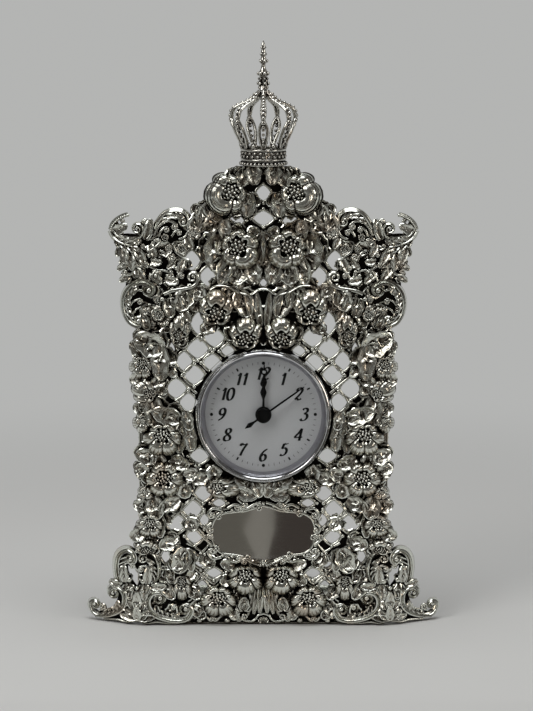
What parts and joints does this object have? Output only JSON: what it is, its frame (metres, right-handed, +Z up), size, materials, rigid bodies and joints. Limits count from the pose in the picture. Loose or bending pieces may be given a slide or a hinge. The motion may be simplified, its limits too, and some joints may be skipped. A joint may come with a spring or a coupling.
{
  "type": "table clock",
  "caption": "Openwork silver table clock with a pierced flower panel, scroll brackets and feet, a crown finial, a blank nameplate and a push-fit quartz insert with a white dial.",
  "frame": {"origin": "on the table, under the middle of the clock's overall box", "axes": "+Z up through the crown, the dial faces -Y, +X to the right as the dial is read"},
  "size_m": [0.1868, 0.071, 0.305],
  "materials": {
    "silver": "oxidised silver, rubbed bright on the high parts",
    "polished_silver": "mirror polished",
    "chrome": "polished plating",
    "lens_glass": "clear",
    "dial_white": "matt white paint with black printing",
    "hand_black": "satin black",
    "black_plastic": "fine moulded grain",
    "black_rubber": "dull",
    "steel": "bright",
    "brass": "turned",
    "copper_wire": "enamelled wire",
    "green_board": "solder mask"
  },
  "bodies": {
    "case": {"front_panel": "silver", "left_side_panel": "silver", "right_side_panel": "silver", "left_rear_foot": "silver", "right_rear_foot": "silver", "left_front_foot": "silver", "right_front_foot": "silver", "left_upper_bracket": "silver", "right_upper_bracket": "silver", "lower_back_rail": "silver", "upper_back_rail": "silver", "dial_collar": "silver", "nameplate_frame": "silver", "nameplate": "polished_silver", "crown_seat": "silver", "crown_strap": "silver", "crown_band": "silver", "crown_arch_1": "silver", "crown_arch_2": "silver", "crown_arch_3": "silver", "crown_arch_4": "silver", "crown_arch_5": "silver", "crown_arch_6": "silver", "crown_arch_7": "silver", "crown_boss": "silver", "crown_spire": "silver"},
    "insert": {"bezel": "chrome", "lens": "lens_glass", "dial_ring": "chrome", "dial": "dial_white", "cup": "black_plastic", "gasket": "black_rubber", "main_plate": "black_plastic", "case_screw_1": "steel", "case_screw_2": "steel", "case_screw_3": "steel", "stator": "steel", "coil": "copper_wire", "circuit_board": "green_board", "quartz_crystal": "steel", "battery": "steel", "upper_contact": "brass", "side_contact": "brass"},
    "hatch": {"battery_hatch": "black_plastic"},
    "seconds": {"seconds_wheel": "brass", "second_hand": "hand_black"},
    "third": {"third_wheel": "brass"},
    "centre": {"centre_wheel": "brass"},
    "intermediate": {"intermediate_wheel": "brass"},
    "rotor": {"rotor": "steel"},
    "minute": {"minute_pinion": "brass", "minute_hand": "hand_black"},
    "setting": {"motion_wheel": "brass", "setting_knob": "black_plastic"},
    "hour": {"hour_wheel": "brass", "hour_hand": "hand_black"}
  },
  "joints": [
    {"name": "insert_pull", "type": "slide", "parent": "case", "child": "insert", "axis": [0, -1, 0], "range_m": [0, 0.022]},
    {"name": "hatch_pull", "type": "slide", "parent": "insert", "child": "hatch", "axis": [0, 1, 0], "range_m": [0, 0.012]},
    {"name": "seconds_turn", "type": "hinge", "parent": "insert", "child": "seconds", "pos_m": [0, -0.0182, 0.112], "axis": [0, 1, 0], "continuous": true},
    {"name": "third_turn", "type": "hinge", "parent": "insert", "child": "third", "pos_m": [-0.00823, -0.0182, 0.11675], "axis": [0, 1, 0], "continuous": true},
    {"name": "centre_turn", "type": "hinge", "parent": "insert", "child": "centre", "pos_m": [0, -0.0182, 0.112], "axis": [0, 1, 0], "continuous": true},
    {"name": "intermediate_turn", "type": "hinge", "parent": "insert", "child": "intermediate", "pos_m": [0.00849, -0.0182, 0.1169], "axis": [0, 1, 0], "continuous": true},
    {"name": "rotor_turn", "type": "hinge", "parent": "insert", "child": "rotor", "pos_m": [0.01427, -0.0182, 0.11001], "axis": [0, 1, 0], "continuous": true},
    {"name": "minute_turn", "type": "hinge", "parent": "insert", "child": "minute", "pos_m": [0, -0.0182, 0.112], "axis": [0, 1, 0], "continuous": true},
    {"name": "setting_turn", "type": "hinge", "parent": "insert", "child": "setting", "pos_m": [0, -0.0182, 0.1015], "axis": [0, 1, 0], "continuous": true},
    {"name": "hour_turn", "type": "hinge", "parent": "insert", "child": "hour", "pos_m": [0, -0.0182, 0.112], "axis": [0, 1, 0], "continuous": true}
  ],
  "couplings": [
    {"joint": "third_turn", "follows": "seconds_turn", "ratio": -0.13333},
    {"joint": "centre_turn", "follows": "seconds_turn", "ratio": 0.016667},
    {"joint": "intermediate_turn", "follows": "seconds_turn", "ratio": -6},
    {"joint": "rotor_turn", "follows": "seconds_turn", "ratio": 30},
    {"joint": "setting_turn", "follows": "minute_turn", "ratio": -0.33333},
    {"joint": "hour_turn", "follows": "minute_turn", "ratio": 0.083333}
  ]
}
